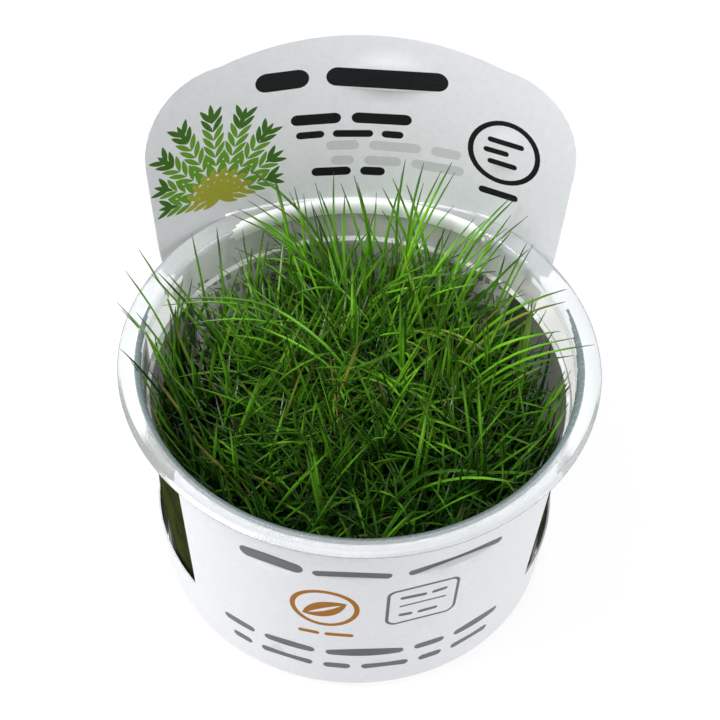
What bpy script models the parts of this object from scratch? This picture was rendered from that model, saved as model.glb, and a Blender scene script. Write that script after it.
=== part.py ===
"""Dwarf hairgrass grown on nutrient gel in a clear plastic cup, with a white card sleeve round the cup.

The model stands on the XY plane with the cup's axis on Z. The sleeve's front panel faces -Y, and its
tall header stands behind the rim, at +Y. All sizes are in millimetres; MM turns them into metres.
"""

import math

import bmesh
import bpy
import numpy as np
from mathutils import Matrix, Vector

MM = 0.001

# Cup: a thin wall with a sloping lip, a flat flange round it, and a small step below its plain collar
RIM_HEIGHT = 60.5
FLANGE_RADIUS = 50.0
FLANGE_THICKNESS = 1.0
FLANGE_ROUND = 0.3
MOUTH_RADIUS = 46.2
MOUTH_DROP = 1.3
WALL = 0.5
LIP_SHIFT = 0.3
COLLAR_TOP_RADIUS = 44.8
COLLAR_BOTTOM_RADIUS = 44.5
STEP_HEIGHT = 50.4
STEP_DROP = 0.7
LOWER_TOP_RADIUS = 43.8
LOWER_BOTTOM_RADIUS = 41.4
FLOOR_THICKNESS = 0.8
FOOT_ROUND = 2.0
CUP_SIDES = 56

# Gel: the disc of nutrient jelly that fills the cup's bottom
GAP = 0.35
GEL_TOP = 14.0
GEL_MENISCUS = 0.8
MENISCUS_FOOT = (1.2, 3.0)
MENISCUS_FOOT_RISE = 0.2
GEL_SIDES = 48

# Sleeve: a conical card band with a front panel, and a back panel that ends in the header
CARD = 0.4
SLEEVE_BOTTOM = 2.7
SLEEVE_BOTTOM_RADIUS = 42.6
SLEEVE_TOP_RADIUS = 47.1
BAND_TOP = 16.5
PANEL_TOP = 59.2
FRONT_HALF_ANGLE = 54.0
FLARE_START = 20.0

# Header: flatter than the cup in plan, so its sides stand off the flange, which enters its slit
HEADER_RADIUS = 75.0
HEADER_CENTRE_Y = -27.9
HEADER_LEAN = 0.147
HEADER_TURN = -2.4
HEADER_HALF_WIDTH = 46.7
HEADER_CORNER = 18.4
HEADER_TOP = 101.9
HEADER_TOP_ARC = 105.0
SLIT_BOTTOM = PANEL_TOP
SLIT_TOP = 60.85
SLIT_SIDE_COLUMNS = 4

# Tufts: one plantlet each, in rings on the gel
TUFT_RINGS = ((1, 0.0), (6, 11.5), (12, 23.0), (18, 34.0))
RING_TURN = 0.35
CROWN_RADIUS = 3.4
CROWN_FLATNESS = 0.5
CROWN_SUNK = 0.9
CAP_FACES = 5
BELT_FACES = 5
STEM_WIDTH = 2.8
BLADE_WIDTH = 1.5
BLADE_TAPER = 0.6
BLADE_SPACING = 0.4
CLEAR_OF_CROWN = 0.2
CLEAR_OF_WALL = 1.2
CLEAR_OF_HEADER = 3.0
OVERHANG = 2.0
SHARPEST_BEND = 60
PATH_SAMPLES = 6
NEIGHBOURS = 3
UPRIGHT_LEAN = (3, 16)
UPRIGHT_HEIGHT = (36, 52)
SPREADING_LEAN = (8, 18)
SPREADING_HEIGHT = (22, 38)
FRONT_SHORTENING = 0.25
LONG_STEPS = (0.13, 0.36, 0.6, 0.82)
SHORT_STEPS = (0.2, 0.62)
LONG_SHIFT = 2.5
LONG_TRIES = 60
SHORT_SHIFT = 1.5
SHORT_TRIES = 4
SHORT_DRAWS = 60
SHORT_CREST_REACH = 0.3
SHORT_CREST_RISE = 0.58
UPRIGHT_FACE = 0.6
TURN_SPREAD = 0.5
SEED = 11

# Long blades that give the plant its outline: root (x, y), crest (x, y, z) and tip (x, y, z)
LONG_BLADES = (
    ((0, 34), (-12, 36, 76), (-3, 38, 84)),
    ((2, 33), (-6, 39, 62), (-21, 39, 70)),
    ((-5, 34), (-12, 37, 62), (-24, 36, 67)),
    ((-8, 32), (-11, 38, 58), (-18, 40, 73)),
    ((-3, 34), (-5, 36, 60), (-4, 38, 77)),
    ((6, 33), (5, 38, 56), (2, 38, 74)),
    ((11, 32), (11, 38, 60), (15, 37, 80)),
    ((13, 31), (14, 36, 66), (21, 37, 80)),
    ((16, 30), (18, 38, 54), (9, 37, 74)),
    ((20, 27), (22, 33, 63), (34, 33, 72)),
    ((27, 20), (33, 23, 56), (38, 24, 68)),
    ((18, 14), (26, 27, 58), (34, 29, 66)),
    ((12, 10), (29, 13, 64), (43, 13, 66)),
    ((12, 2), (31, 0, 65), (48, -2, 65)),
    ((33, -6), (38, -5, 50), (44, -7, 58)),
    ((-30, 13), (-40, 14, 58), (-48, 17, 70)),
    ((-27, 6), (-40, 7, 61), (-50, 8, 67)),
    ((-21, 10), (-34, 16, 57), (-43, 18, 68)),
    ((-27, 22), (-28, 25, 56), (-29, 25, 74)),
    ((-22, 26), (-22, 32, 52), (-19, 32, 66)),
    ((6, 20), (-16, 13, 71), (-37, 15, 63)),
    ((10, 6), (-8, 9, 64), (-21, 11, 66)),
    ((-30, 0), (-39, -1, 57), (-47, 0, 64)),
    ((-24, -6), (-37, -5, 53), (-44, -4, 60)),
    ((6, -18), (20, -24, 57), (31, -26, 50)),
    ((-12, -12), (-28, -21, 52), (-39, -24, 60)),
    ((0, -24), (-8, -32, 52), (-12, -40, 54)),
    ((20, -20), (28, -29, 44), (31, -34, 58)),
)


def material(name, colour, roughness, metallic=0.0):
    made = bpy.data.materials.new(name)
    made.use_nodes = True
    shader = made.node_tree.nodes["Principled BSDF"]
    shader.inputs["Base Color"].default_value = (*colour, 1.0)
    shader.inputs["Roughness"].default_value = roughness
    shader.inputs["Metallic"].default_value = metallic
    return made


def add_object(name, mesh_edit, finish):
    """Turn a bmesh in millimetres into a named object in metres."""
    bmesh.ops.scale(mesh_edit, vec=(MM, MM, MM), verts=mesh_edit.verts)
    mesh = bpy.data.meshes.new(name)
    mesh_edit.to_mesh(mesh)
    mesh_edit.free()
    mesh.materials.append(finish)
    made = bpy.data.objects.new(name, mesh)
    bpy.context.scene.collection.objects.link(made)
    return made


def arc(centre_r, centre_z, radius, start, end, steps):
    """Points of a circular arc in the profile's plane, from one angle in degrees to another."""
    angles = [math.radians(start + (end - start) * i / steps) for i in range(steps + 1)]
    return [(centre_r + radius * math.cos(a), centre_z + radius * math.sin(a)) for a in angles]


def turned(profile, sides):
    """Turn a profile, whose two ends lie on the axis, round Z."""
    made = bmesh.new()
    points = [made.verts.new((r, 0.0, z)) for r, z in profile]
    edges = [made.edges.new(pair) for pair in zip(points, points[1:])]
    bmesh.ops.spin(made, geom=points + edges, cent=(0, 0, 0), axis=(0, 0, 1), angle=2 * math.pi, steps=sides)
    bmesh.ops.remove_doubles(made, verts=made.verts, dist=0.001)
    bmesh.ops.recalc_face_normals(made, faces=made.faces)
    return made


def lower_wall_radius(z):
    """Inner radius of the cup between its foot and the step."""
    share = (z - FOOT_ROUND) / (STEP_HEIGHT - STEP_DROP - FOOT_ROUND)
    return LOWER_BOTTOM_RADIUS + share * (LOWER_TOP_RADIUS - LOWER_BOTTOM_RADIUS)


def cup_profile():
    inner_round = FOOT_ROUND - WALL
    foot_outer = LOWER_BOTTOM_RADIUS + WALL
    underside = RIM_HEIGHT - FLANGE_THICKNESS
    inside = [(0.0, FLOOR_THICKNESS)]
    inside += arc(LOWER_BOTTOM_RADIUS - inner_round, FLOOR_THICKNESS + inner_round, inner_round, -90, 0, 3)
    inside += [
        (LOWER_TOP_RADIUS, STEP_HEIGHT - STEP_DROP),
        (COLLAR_BOTTOM_RADIUS, STEP_HEIGHT),
        (COLLAR_TOP_RADIUS, RIM_HEIGHT - MOUTH_DROP),
        (MOUTH_RADIUS, RIM_HEIGHT),
    ]
    flange = [
        (FLANGE_RADIUS - FLANGE_ROUND, RIM_HEIGHT),
        (FLANGE_RADIUS, RIM_HEIGHT - FLANGE_ROUND),
        (FLANGE_RADIUS, underside + FLANGE_ROUND),
        (FLANGE_RADIUS - FLANGE_ROUND, underside),
    ]
    outside = [
        (MOUTH_RADIUS + LIP_SHIFT, underside),
        (COLLAR_TOP_RADIUS + WALL, RIM_HEIGHT - MOUTH_DROP - LIP_SHIFT),
        (COLLAR_BOTTOM_RADIUS + WALL, STEP_HEIGHT - WALL),
        (LOWER_TOP_RADIUS + WALL, STEP_HEIGHT - STEP_DROP - WALL),
    ]
    foot = arc(foot_outer - FOOT_ROUND, FOOT_ROUND, FOOT_ROUND, 0, -90, 3)
    return inside + flange + outside + foot + [(0.0, 0.0)]


def make_cup():
    finish = material("clear_plastic", (0.86, 0.9, 0.92), 0.08)
    return add_object("cup", turned(cup_profile(), CUP_SIDES), finish)


def make_gel():
    """A disc that follows the cup's floor and wall, its top edge raised where it wets the wall."""
    bottom = FLOOR_THICKNESS + GAP
    side = LOWER_BOTTOM_RADIUS - GAP
    wetted = lower_wall_radius(GEL_TOP) - GAP
    near, far = MENISCUS_FOOT
    profile = [(0.0, bottom)]
    profile += arc(side - FOOT_ROUND, bottom + FOOT_ROUND, FOOT_ROUND, -90, 0, 3)
    profile += [
        (lower_wall_radius(GEL_TOP + GEL_MENISCUS) - GAP, GEL_TOP + GEL_MENISCUS),
        (wetted - near * GEL_MENISCUS, GEL_TOP + MENISCUS_FOOT_RISE * GEL_MENISCUS),
        (wetted - far * GEL_MENISCUS, GEL_TOP),
        (0.0, GEL_TOP),
    ]
    finish = material("nutrient_gel", (0.33, 0.33, 0.13), 0.25)
    return add_object("gel", turned(profile, GEL_SIDES), finish)


def sleeve_cone_radius(z):
    share = (z - SLEEVE_BOTTOM) / (PANEL_TOP - SLEEVE_BOTTOM)
    return SLEEVE_BOTTOM_RADIUS + share * (SLEEVE_TOP_RADIUS - SLEEVE_BOTTOM_RADIUS)


def front_point(angle, z):
    """Outer face of the cone; the angle is in degrees from the front, at -Y, towards +X."""
    a = math.radians(angle)
    radius = sleeve_cone_radius(z)
    return Vector((radius * math.sin(a), -radius * math.cos(a), z))


def header_point(across, z):
    """Outer face of the header; across is the distance along its arc from its middle."""
    a = across / HEADER_RADIUS
    radius = HEADER_RADIUS + HEADER_LEAN * (z - RIM_HEIGHT)
    flat = Vector((radius * math.sin(a), HEADER_CENTRE_Y + radius * math.cos(a), z))
    return Matrix.Rotation(math.radians(HEADER_TURN), 3, "Z") @ flat


def back_point(across, z):
    """Back panel: the cone at the band, flaring to the header's flatter arc at the rim."""
    if z >= RIM_HEIGHT:
        return header_point(across, z)
    at_rim = header_point(across, RIM_HEIGHT)
    rim_radius = math.hypot(at_rim.x, at_rim.y)
    share = min(1.0, max(0.0, (z - FLARE_START) / (RIM_HEIGHT - FLARE_START)))
    share = share * share * (3 - 2 * share)
    cone = sleeve_cone_radius(z)
    radius = cone + share * (rim_radius - sleeve_cone_radius(RIM_HEIGHT))
    return Vector((radius * at_rim.x / rim_radius, radius * at_rim.y / rim_radius, z))


def header_columns():
    """Distances along the header's arc: even over the middle, closer round the corners."""
    straight = HEADER_HALF_WIDTH - HEADER_CORNER
    corner = [straight + HEADER_CORNER * math.sin(math.radians(a)) for a in (22, 43, 62, 78, 90)]
    middle = [straight * i / 4 for i in range(-4, 5)]
    return [-c for c in reversed(corner)] + middle + corner


def header_height(across):
    """Top edge of the header: one long flat arc with a quarter round at each end."""
    straight = HEADER_HALF_WIDTH - HEADER_CORNER
    inner = min(abs(across), straight)
    top = HEADER_TOP - inner * inner / (2 * HEADER_TOP_ARC)
    past = max(0.0, abs(across) - straight)
    return top - HEADER_CORNER + math.sqrt(max(0.0, HEADER_CORNER**2 - past**2))


def rows(bottom, top, steps):
    return [bottom + (top - bottom) * i / steps for i in range(steps + 1)]


def add_strip(made, columns, skip=()):
    """Join neighbouring columns of points with quads, leaving out the named (column, row) cells."""
    verts = [[made.verts.new(point) for point in column] for column in columns]
    for i, (left, right) in enumerate(zip(verts, verts[1:])):
        for j in range(len(left) - 1):
            if (i, j) not in skip:
                made.faces.new((left[j], right[j], right[j + 1], left[j + 1]))


def make_sleeve():
    """Card skin of band, front panel and back panel with header, given its thickness by a modifier."""
    made = bmesh.new()
    across = header_columns()
    back_edges = [back_point(c, BAND_TOP) for c in across]
    back_angles = [math.degrees(math.atan2(p.x, -p.y)) % 360 for p in back_edges]
    front_angles = [FRONT_HALF_ANGLE * i / 9 for i in range(-9, 10)]

    def between(start, end, steps):
        return [start + (end - start) * i / steps for i in range(1, steps)]

    right_gap = between(FRONT_HALF_ANGLE, back_angles[-1], 10)
    left_gap = between(back_angles[0], 360 - FRONT_HALF_ANGLE, 10)
    ring = front_angles + right_gap + list(reversed(back_angles)) + left_gap + [front_angles[0]]
    band_rows = rows(SLEEVE_BOTTOM, BAND_TOP, 2)
    add_strip(made, [[front_point(angle, z) for z in band_rows] for angle in ring])

    front_rows = rows(BAND_TOP, PANEL_TOP, 3)
    add_strip(made, [[front_point(angle, z) for z in front_rows] for angle in front_angles])

    back_rows = rows(BAND_TOP, SLIT_BOTTOM, 5)
    columns = []
    for c in reversed(across):
        header_rows = rows(SLIT_TOP, header_height(c), 6)
        columns.append([back_point(c, z) for z in back_rows + header_rows])
    slit = {(i, len(back_rows) - 1) for i in range(SLIT_SIDE_COLUMNS, len(across) - 1 - SLIT_SIDE_COLUMNS)}
    add_strip(made, columns, skip=slit)

    bmesh.ops.remove_doubles(made, verts=made.verts, dist=0.005)
    bmesh.ops.recalc_face_normals(made, faces=made.faces)
    finish = material("white_card", (0.86, 0.87, 0.9), 0.45)
    sleeve = add_object("card_sleeve", made, finish)
    solidify = sleeve.modifiers.new("card thickness", "SOLIDIFY")
    solidify.thickness = CARD * MM
    solidify.offset = -1
    return sleeve


def bezier(root, crest, tip, share):
    """Point of the parabola from the root through the crest to the tip."""
    control = 2 * crest - (root + tip) / 2
    return (1 - share) ** 2 * root + 2 * share * (1 - share) * control + share**2 * tip


def tuft_places():
    """Middle of each plantlet on the gel, ring by ring, the rings turned against each other."""
    places = []
    for ring, (count, radius) in enumerate(TUFT_RINGS):
        for i in range(count):
            a = 2 * math.pi * (i + RING_TURN * ring) / count
            places.append(Vector((radius * math.cos(a), radius * math.sin(a), GEL_TOP + GAP)))
    return places


def segment_gap(starts, ends, a, b):
    """Least distance between one segment and each of many, by clamped closest points."""
    u = ends - starts
    v = b - a
    w = starts - a
    uu, uv, vv = (u * u).sum(1), u @ v, v @ v
    uw, vw = (u * w).sum(1), w @ v
    det = np.maximum(uu * vv - uv * uv, 1e-9)
    s = np.clip((uv * vw - vv * uw) / det, 0, 1)
    t = np.clip((uv * s + vw) / vv, 0, 1)
    s = np.clip((uv * t - uw) / uu, 0, 1)
    return np.linalg.norm(w + s[:, None] * u - t[:, None] * v, axis=1)


class Space:
    """What a new blade has to stay clear of: the cup, the header, the crowns and every blade placed so far."""

    def __init__(self):
        self.starts = np.zeros((0, 3))
        self.ends = np.zeros((0, 3))
        self.widths = np.zeros(0)
        self.tufts = np.zeros(0, dtype=int)
        self.stems = np.zeros(0, dtype=bool)

    def inside(self, point):
        """True for a point in the cup's hollow, or above the flange and in front of the header."""
        radius = math.hypot(point.x, point.y)
        if point.z < GEL_TOP + BLADE_WIDTH:
            return False
        if point.z < STEP_HEIGHT:
            return radius < lower_wall_radius(point.z) - CLEAR_OF_WALL
        if point.z < RIM_HEIGHT + CLEAR_OF_WALL:
            return radius < COLLAR_BOTTOM_RADIUS - CLEAR_OF_WALL
        header = header_point(0.0, point.z)
        return radius < FLANGE_RADIUS + OVERHANG and point.y < header.y - CLEAR_OF_HEADER

    def takes(self, path, widths, tuft):
        """True if the path is inside and far enough from what is there.

        Its first stretch, at the crown, may touch the crown and the first stretches of its own tuft.
        """
        for a, b in zip(path[2:], path[3:]):
            if not all(self.inside(a.lerp(b, i / PATH_SAMPLES)) for i in range(PATH_SAMPLES + 1)):
                return False
        for i, (a, b, width) in enumerate(zip(path, path[1:], widths)):
            gap = segment_gap(self.starts, self.ends, np.array(a), np.array(b))
            near = gap < (self.widths + width) / 2 + BLADE_SPACING
            grown_together = (self.tufts == tuft) & self.stems & (i == 0)
            if (near & ~grown_together).any():
                return False
        return True

    def add(self, path, widths, tuft):
        """Keep a path, with its first stretch marked as the one that may touch its neighbours in the tuft."""
        self.starts = np.vstack([self.starts, [tuple(p) for p in path[:-1]]])
        self.ends = np.vstack([self.ends, [tuple(p) for p in path[1:]]])
        self.widths = np.append(self.widths, widths)
        self.tufts = np.append(self.tufts, [tuft] * len(widths))
        self.stems = np.append(self.stems, [i == 0 for i in range(len(widths))])


class Tuft:
    """One plantlet: a low crown whose upper faces are drawn out into blades."""

    def __init__(self, number, place, turn):
        self.number = number
        self.place = place
        self.mesh = bmesh.new()
        bmesh.ops.create_icosphere(self.mesh, subdivisions=1, radius=CROWN_RADIUS)
        self.mesh.verts.ensure_lookup_table()
        self.stand(turn)
        faces = sorted(self.mesh.faces, key=lambda f: -f.normal.z)
        belt = sorted(faces[CAP_FACES:CAP_FACES + BELT_FACES], key=lambda f: math.atan2(f.normal.y, f.normal.x))
        self.free = faces[:CAP_FACES] + belt

    def stand(self, turn):
        """Stand the crown on its flattened underside, low and turned by its own angle."""
        place = Matrix.Translation(self.place) @ Matrix.Rotation(turn, 4, "Z")
        for vert in self.mesh.verts:
            height = CROWN_FLATNESS * (vert.co.z + CROWN_SUNK * CROWN_RADIUS)
            vert.co = place @ Vector((vert.co.x, vert.co.y, max(0.0, height)))
        self.mesh.normal_update()

    def root(self, face):
        return face.calc_center_median() + CLEAR_OF_CROWN * face.normal

    def draw_blade(self, face, path, widths):
        """Extrude one crown face along the path, ring by ring, to a point at the tip."""
        self.free.remove(face)
        offsets = [(v.co - face.calc_center_median()).normalized() for v in face.verts]
        heading = face.normal.copy()
        for before, centre, following, width in zip(path, path[1:], path[2:], widths[1:]):
            new_heading = (following - centre).normalized() + (centre - before).normalized()
            turn = heading.rotation_difference(new_heading)
            offsets = [turn @ o for o in offsets]
            heading = new_heading
            made = bmesh.ops.extrude_discrete_faces(self.mesh, faces=[face])
            face = made["faces"][0]
            for vert, offset in zip(face.verts, offsets):
                vert.co = centre + offset * width / 2
        made = bmesh.ops.poke(self.mesh, faces=[face])
        made["verts"][0].co = path[-1]


def blade_shape(root, crest, tip, steps):
    """Centre line of a blade, and the width of each of its stretches from the wide stem up."""
    path = [bezier(root, crest, tip, share) for share in [0.0, *steps, 1.0]]
    widths = [STEM_WIDTH] + [BLADE_WIDTH * (1 - BLADE_TAPER * share) for share in steps]
    return path, widths


def bends_gently(path):
    turns = [(b - a).angle(c - b) for a, b, c in zip(path, path[1:], path[2:])]
    return max(turns) < math.radians(SHARPEST_BEND)


def place_blade(space, tuft, shape, rng, spread, tries):
    """Try a blade, moving its crest and tip a little more each time, until it is clear of the rest."""
    face, crest, tip, steps = shape
    for attempt in range(tries):
        shift = spread * attempt / tries
        moved_crest = crest + Vector(rng.uniform(-shift, shift, 3))
        moved_tip = tip + Vector(rng.uniform(-shift, shift, 3))
        path, widths = blade_shape(tuft.root(face), moved_crest, moved_tip, steps)
        probe = [path[0], path[0].lerp(path[1], 0.5), *path[1:]]
        probe_widths = [STEM_WIDTH, (STEM_WIDTH + BLADE_WIDTH) / 2, *widths[1:]]
        if bends_gently(path) and space.takes(probe, probe_widths, tuft.number):
            space.add(probe, probe_widths, tuft.number)
            tuft.draw_blade(face, path, widths)
            return True
    return False


def nearest_face(tuft, tip):
    """The tuft's free crown face that looks most towards the tip."""
    away = (tip - tuft.place).normalized()
    return max(tuft.free, key=lambda face: face.normal.dot(away))


def add_long_blades(tufts, space, rng):
    for root, crest, tip in LONG_BLADES:
        ground = Vector((*root, GEL_TOP))
        for tuft in sorted(tufts, key=lambda t: (t.place - ground).length)[:NEIGHBOURS]:
            if not tuft.free:
                continue
            face = nearest_face(tuft, Vector(crest))
            shape = (face, Vector(crest), Vector(tip), LONG_STEPS)
            if place_blade(space, tuft, shape, rng, LONG_SHIFT, LONG_TRIES):
                break


def add_short_blades(tufts, space, rng):
    """Fill the remaining crown faces: upright blades from the top, spreading ones from the belt.

    The plantlets are shorter towards the front of the cup.
    """
    for tuft in tufts:
        shortening = 1 - FRONT_SHORTENING * max(0.0, -tuft.place.y / LOWER_BOTTOM_RADIUS)
        for face in list(tuft.free):
            upright = face.normal.z > UPRIGHT_FACE
            leans = UPRIGHT_LEAN if upright else SPREADING_LEAN
            heights = UPRIGHT_HEIGHT if upright else SPREADING_HEIGHT
            root = tuft.root(face)
            for _ in range(SHORT_DRAWS):
                turn = math.atan2(face.normal.y, face.normal.x) + rng.uniform(-TURN_SPREAD, TURN_SPREAD)
                reach = rng.uniform(*leans) * Vector((math.cos(turn), math.sin(turn), 0))
                rise = rng.uniform(*heights) * shortening * Vector((0, 0, 1))
                crest = root + SHORT_CREST_REACH * reach + SHORT_CREST_RISE * rise
                shape = (face, crest, root + reach + rise, SHORT_STEPS)
                if place_blade(space, tuft, shape, rng, SHORT_SHIFT, SHORT_TRIES):
                    break


def make_tufts():
    rng = np.random.default_rng(SEED)
    space = Space()
    tufts = []
    for number, place in enumerate(tuft_places(), 1):
        tufts.append(Tuft(number, place, rng.uniform(0, 2 * math.pi)))
        crown = [place, place + Vector((0, 0, CROWN_RADIUS))]
        space.add(crown, [2 * CROWN_RADIUS], number)
    add_long_blades(tufts, space, rng)
    add_short_blades(tufts, space, rng)
    finish = material("grass_blade", (0.09, 0.27, 0.03), 0.4)
    for tuft in tufts:
        add_object(f"tuft_{tuft.number:02d}", tuft.mesh, finish)


def main():
    for old in list(bpy.data.objects):
        bpy.data.objects.remove(old, do_unlink=True)
    make_cup()
    make_gel()
    make_sleeve()
    make_tufts()


main()
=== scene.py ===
"""Looks of the dwarf hairgrass in its clear cup and printed card sleeve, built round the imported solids.

The sleeve's front panel faces -Y and its header stands at +Y. Sizes are in millimetres; MM turns them
into metres. The cup's and the sleeve's sizes repeat those of the solids that they stand for.
"""

import math

import bmesh
import bpy
import numpy as np
from mathutils import Matrix, Vector
from mathutils.geometry import delaunay_2d_cdt


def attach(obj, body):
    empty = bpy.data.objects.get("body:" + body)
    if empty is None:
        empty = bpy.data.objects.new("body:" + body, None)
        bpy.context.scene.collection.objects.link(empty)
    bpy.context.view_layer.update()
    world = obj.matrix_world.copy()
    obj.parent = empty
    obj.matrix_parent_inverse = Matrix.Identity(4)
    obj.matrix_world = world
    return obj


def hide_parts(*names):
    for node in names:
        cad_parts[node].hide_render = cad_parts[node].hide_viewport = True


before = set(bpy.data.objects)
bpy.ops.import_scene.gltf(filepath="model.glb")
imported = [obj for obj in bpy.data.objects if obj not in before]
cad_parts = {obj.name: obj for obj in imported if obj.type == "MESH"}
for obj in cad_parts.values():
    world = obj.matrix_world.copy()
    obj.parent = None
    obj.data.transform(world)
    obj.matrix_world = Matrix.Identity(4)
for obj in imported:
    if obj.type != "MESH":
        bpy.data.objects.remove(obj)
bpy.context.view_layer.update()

MM = 0.001

# Camera: where the photograph was taken from, seen from the middle of the rim
CAMERA_DISTANCE = 413.4
CAMERA_ELEVATION = 49.4
CAMERA_AZIMUTH = -5.0
CAMERA_ROLL = 2.45
AIM_BELOW_RIM = 0.6
LENS = 100.0
SENSOR = 36.0

# Half the floor's side, in metres
FLOOR_HALF = 1.5

# Cup
RIM_HEIGHT = 60.5
FLANGE_RADIUS = 50.0
FLANGE_THICKNESS = 1.0
FLANGE_ROUND = 0.3
EDGE_SLOPE = (0.85, 0.5)
LIP_ROUND = 1.4
LIP_FOOT = (44.85, 57.3)
LIP_BULGE = (44.85, 60.5)
LIP_TOP_RADIUS = 46.5
LIP_STEPS = 10
WALL = 0.5
COLLAR_TOP_RADIUS = 44.8
COLLAR_BOTTOM_RADIUS = 44.5
STEP_HEIGHT = 50.4
STEP_DROP = 0.7
LOWER_TOP_RADIUS = 43.8
LOWER_BOTTOM_RADIUS = 41.4
FLOOR_THICKNESS = 0.8
FOOT_ROUND = 2.0
ROUND_STEPS = 8
CUP_SIDES = 240

# Eased corners of the cup's section, as offsets out and up from the sharp corner
STEP_FOOT_EASE = ((-0.15, -0.8), (0.0, 0.0), (0.25, 0.3))
STEP_TOP_EASE = ((-0.2, -0.12), (0.0, 0.2))
FLANGE_EDGE_EASE = ((-0.25, 0.0), (0.0, -0.04), (0.2, -0.13))

# Plastics of the cup, in the order of its materials
CLEAR_RIM, PAINTED_HIGHLIGHT, THIN_WALL, PAINTED_SHADE_SHEET, PAINTED_SHADE_LIP = range(5)

# Milky band on the lip as a painted highlight, in degrees from the back, and the stretch of painted shade
# that widens to the front
BAND_MIDDLE = 2.2
BAND_HALF = 37.7
BAND_END = 4.0
SHADED_START = 72.0
SHADED_WIDENS = 50.0

# How faces are sorted: the lip's least cosine towards the axis, and margins inside lip and flange
LIP_FACING = 0.05
LIP_MARGIN = 0.1
FLANGE_MARGIN = 3.0

# Dark olive sheet on the wall in the windows, painted shade for the shaded grass behind; left of the front
# it reaches the lip up to this bearing
SHADE_SHEET_TURN = 100.0
SHADE_SHEET_BOTTOM = 3.0
SHADE_SHEET_UNDER_CARD = 3.0

# Gel
GAP = 0.35
GEL_TOP = 14.0
GEL_MENISCUS = 0.8
MENISCUS_STEP = 0.4
MENISCUS_FALL = 0.7
GEL_SIDES = 160

# Sleeve
CARD = 0.4
SLEEVE_BOTTOM = 2.7
SLEEVE_BOTTOM_RADIUS = 42.6
SLEEVE_TOP_RADIUS = 47.1
BAND_TOP = 16.5
PANEL_TOP = 59.2
FRONT_HALF_ANGLE = 54.0
WINDOW_END = 128.0
FLARE_START = 20.0
HEADER_RADIUS = 75.0
HEADER_CENTRE_Y = -27.9
HEADER_LEAN = 0.147
HEADER_TURN = -2.4
HEADER_HALF_WIDTH = 46.7
HEADER_CORNER = 18.4
HEADER_TOP = 101.9
HEADER_TOP_ARC = 105.0
SLIT_TOP = 60.6
SLIT_HALF_WIDTH = 30.0
PRINT_RADIUS = 45.0
SKIN_STEP = 2.0
SKIN_ROW = 3.5

# Small lines of plain blocks low on the back panel: letters of each word, row by row
BLOCK = 1.9
BLOCK_HEIGHT = 2.3
BLOCK_COLUMNS = (-40.0, 9.0)
BLOCK_TOP_ROW = 43.8
BLOCK_ROW = 4.1
BLOCK_ROWS = ((5, 3, 6), (4, 6, 4), (7, 2, 5), (4, 5, 4), (6, 3, 5), (3, 4, 6), (5, 7), (4, 5))

# Printed sprig of small leaves: where it stands, and the lean in degrees and length of each stem
SPRIG_FOOT = (-31.0, 65.0)
SPRIG_STEMS = (
    (-78, 14.5), (-58, 17), (-38, 20.5), (-19, 22.5), (0, 24), (19, 22.5), (38, 20), (58, 16.5), (78, 14),
)
SPRIG_STEP = 2.2
SPRIG_LEAF = (4.4, 1.2)
SPRIG_TIP = 5.0
SPRIG_LEAF_LEAN = 32

# Grass
TUFT_RINGS = ((1, 0.0), (6, 11.5), (12, 23.0), (18, 34.0))
RING_TURN = 0.35
BLADE_POINTS = 12
BLADE_SIDES = 5
BLADE_FLATNESS = 0.8
TRACED_WIDTHS = (0.6, 0.85)
FILLER_WIDTHS = (0.5, 0.78)
COMPANIONS = 2
PLANTLETS = 7
BLADES_EACH = 13
PLANTLET_SPREAD = 6.2
BUNDLE_SHARE = 0.45
BUNDLE_BENDS = (25, 92)
FREE_BENDS = (12, 112)
FILLER_LEANS = (2, 22)
FILLER_LENGTHS = (0.7, 1.35)
FILLER_LIMIT = 44.0
CANOPY_FRONT = 42.0
CANOPY_BACK = 63.0
WALL_STEMS = 16
STEM_RINGS_FROM = 30
STEM_RADII = (37.5, 40.3)
STEM_LENGTHS = (20, 36)
# Painted shade on the blades by height, full below the first and none above the second; then the middle
# tone, and how much lighter blades are towards the back as painted light
SHADED_BELOW = 30.0
LIT_ABOVE = 58.0
MIDDLE_TONE = 0.52
TONE_TO_BACK = 0.38
WITHERED = (0.0, 0.45, 1.0)
WITHERED_SHARES = (0.97, 0.022, 0.008)
SEED = 5

# Sparser grass on both sides behind the clump: bearing from +X and width in degrees, and by how much
THIN_PLACES = ((130.0, 26.0, 0.9), (30.0, 30.0, 0.8))
THIN_FROM = 22.0
THIN_WITHIN = 12.0


def principled(name, colour, roughness, **values):
    """A new material and its shader; values are plain numbers for the shader's own sockets."""
    made = bpy.data.materials.new(name)
    made.use_nodes = True
    shader = made.node_tree.nodes["Principled BSDF"]
    shader.inputs["Base Color"].default_value = (*colour, 1.0)
    shader.inputs["Roughness"].default_value = roughness
    for socket, value in values.items():
        shader.inputs[socket.replace("_", " ")].default_value = value
    return made, shader


def node(made, kind, **values):
    """Add a shader node and set its plain properties and its sockets by name."""
    added = made.node_tree.nodes.new(kind)
    for key, value in values.items():
        if hasattr(added, key):
            setattr(added, key, value)
        else:
            added.inputs[key.replace("_", " ")].default_value = value
    return added


def link(made, output, target):
    made.node_tree.links.new(output, target)


def noise(made, scale, detail=3.0):
    """Noise over the object's own coordinates, its scale in patterns per metre."""
    place = node(made, "ShaderNodeTexCoord")
    pattern = node(made, "ShaderNodeTexNoise", Scale=scale, Detail=detail)
    link(made, place.outputs["Object"], pattern.inputs["Vector"])
    return pattern.outputs["Fac"]


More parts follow.
